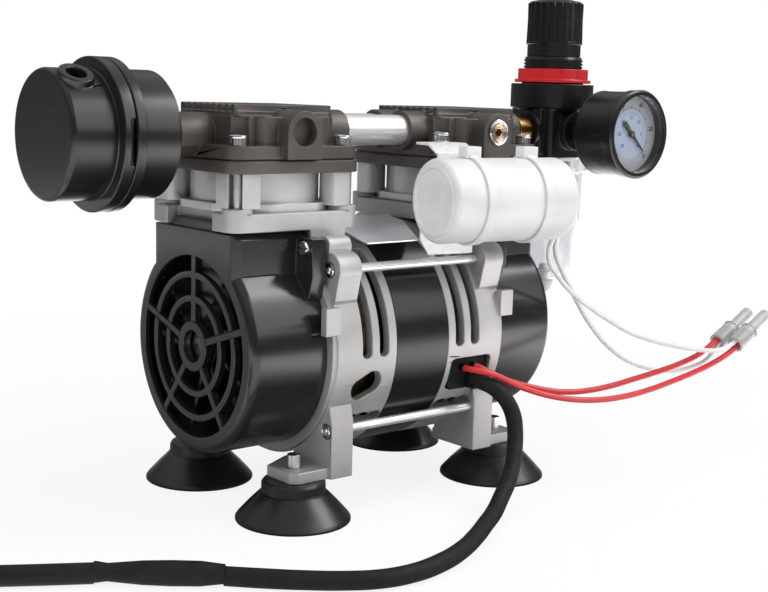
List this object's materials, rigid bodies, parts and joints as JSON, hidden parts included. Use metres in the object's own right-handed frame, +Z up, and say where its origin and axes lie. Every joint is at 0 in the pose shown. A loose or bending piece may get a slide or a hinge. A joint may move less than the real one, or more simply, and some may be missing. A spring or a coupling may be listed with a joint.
{
  "type": "oil-free piston vacuum pump",
  "caption": "Twin-cylinder oil-free piston vacuum pump with an end silencer, a vacuum regulator with gauge and bowl, and suction feet.",
  "frame": {"origin": "centre of the four suction feet, on the surface they stand on, midway between the two cylinders", "axes": "+X along the motor shaft towards the regulator, +Z up, -Y the side with the gauge and the leads"},
  "size_m": [0.5137, 0.1922, 0.2327],
  "materials": {
    "cast_aluminium": "satin casting",
    "machined_aluminium": "bright machined",
    "black_lacquer": "gloss",
    "copper_wire": "varnished copper wire",
    "steel": "bright",
    "charcoal_gloss": "gloss",
    "taupe_paint": "satin",
    "black_rubber": "matte",
    "chrome": "polished",
    "black_satin": "satin",
    "filter_felt": "felt",
    "brass": "bright",
    "black_plastic": "satin",
    "red_plastic": "gloss",
    "clear_plastic": "clear",
    "white_plastic": "satin",
    "dial_face": "pale blue-silver",
    "galvanised": "galvanised",
    "red_insulation": "satin",
    "lead_sheath": "satin",
    "bare_plate": "brushed",
    "piston_seal": "filled PTFE"
  },
  "bodies": {
    "pump": {"left_frame": "cast_aluminium", "right_frame": "cast_aluminium", "stator_core": "black_lacquer", "stator_windings": "copper_wire", "main_bearings": "steel", "tie_rods": "steel", "cover_screws": "steel", "head_bolts": "steel", "port_plug": "steel", "regulator_spring": "steel", "reed_valves": "steel", "foot_studs": "steel", "left_fan_cover": "charcoal_gloss", "right_fan_cover": "charcoal_gloss", "cylinders": "machined_aluminium", "valve_plates": "taupe_paint", "left_head": "taupe_paint", "right_head": "taupe_paint", "seals": "black_rubber", "lead_grommet": "black_rubber", "suction_feet": "black_rubber", "crossover_tubes": "chrome", "silencer_base": "black_satin", "silencer_element": "filter_felt", "bowl_filter": "filter_felt", "port_nipples": "brass", "regulator_body": "black_plastic", "regulator_bonnet": "black_plastic", "gauge_case": "black_plastic", "lock_ring": "red_plastic", "gauge_lens": "clear_plastic", "crimp_caps": "clear_plastic", "capacitor": "white_plastic", "capacitor_ties": "white_plastic", "white_wires": "white_plastic", "gauge_dial": "dial_face", "capacitor_bracket": "galvanised", "red_wires": "red_insulation", "power_lead": "lead_sheath", "lead_joint": "lead_sheath", "lead_coil": "lead_sheath", "plug": "lead_sheath", "rating_plate": "bare_plate"},
    "shaft": {"motor_shaft": "steel", "rotor_core": "steel", "fans": "black_plastic", "eccentrics": "steel"},
    "left_rod": {"left_piston_rod": "machined_aluminium", "left_piston_cup": "piston_seal", "left_crank_bearing": "steel"},
    "right_rod": {"right_piston_rod": "machined_aluminium", "right_piston_cup": "piston_seal", "right_crank_bearing": "steel"},
    "screw": {"adjusting_screw": "steel"},
    "knob": {"regulator_knob": "black_plastic"},
    "pointer": {"gauge_pointer": "black_plastic"},
    "bowl_body": {"bowl": "clear_plastic"},
    "drain": {"drain_valve": "white_plastic"},
    "silencer_lid": {"silencer_cap": "black_satin"}
  },
  "joints": [
    {"name": "shaft_spin", "type": "hinge", "parent": "pump", "child": "shaft", "pos_m": [0, 0, 0.072], "axis": [1, 0, 0], "continuous": true},
    {"name": "left_crank", "type": "hinge", "parent": "shaft", "child": "left_rod", "pos_m": [-0.056, 0, 0.076], "axis": [1, 0, 0], "continuous": true},
    {"name": "right_crank", "type": "hinge", "parent": "shaft", "child": "right_rod", "pos_m": [0.056, 0, 0.068], "axis": [1, 0, 0], "continuous": true},
    {"name": "knob_turn", "type": "hinge", "parent": "pump", "child": "screw", "pos_m": [0.131, 0, 0.2], "axis": [0, 0, 1], "range_deg": [-720, 720]},
    {"name": "knob_lift", "type": "slide", "parent": "screw", "child": "knob", "axis": [0, 0, 1], "range_m": [0, 0.003]},
    {"name": "gauge_needle", "type": "hinge", "parent": "pump", "child": "pointer", "pos_m": [0.131, -0.054, 0.1654], "axis": [0, -1, 0], "range_deg": [0, 270]},
    {"name": "bowl_twist", "type": "hinge", "parent": "pump", "child": "bowl_body", "pos_m": [0.131, 0, 0.12], "axis": [0, 0, 1], "range_deg": [0, 45]},
    {"name": "drain_push", "type": "slide", "parent": "bowl_body", "child": "drain", "axis": [0, 0, 1], "range_m": [0, 0.0025]},
    {"name": "silencer_twist", "type": "hinge", "parent": "pump", "child": "silencer_lid", "pos_m": [-0.131, 0, 0.1628], "axis": [1, 0, 0], "range_deg": [0, 18]}
  ],
  "couplings": [
    {"joint": "left_crank", "follows": "shaft_spin", "ratio": -1},
    {"joint": "right_crank", "follows": "shaft_spin", "ratio": -1}
  ]
}
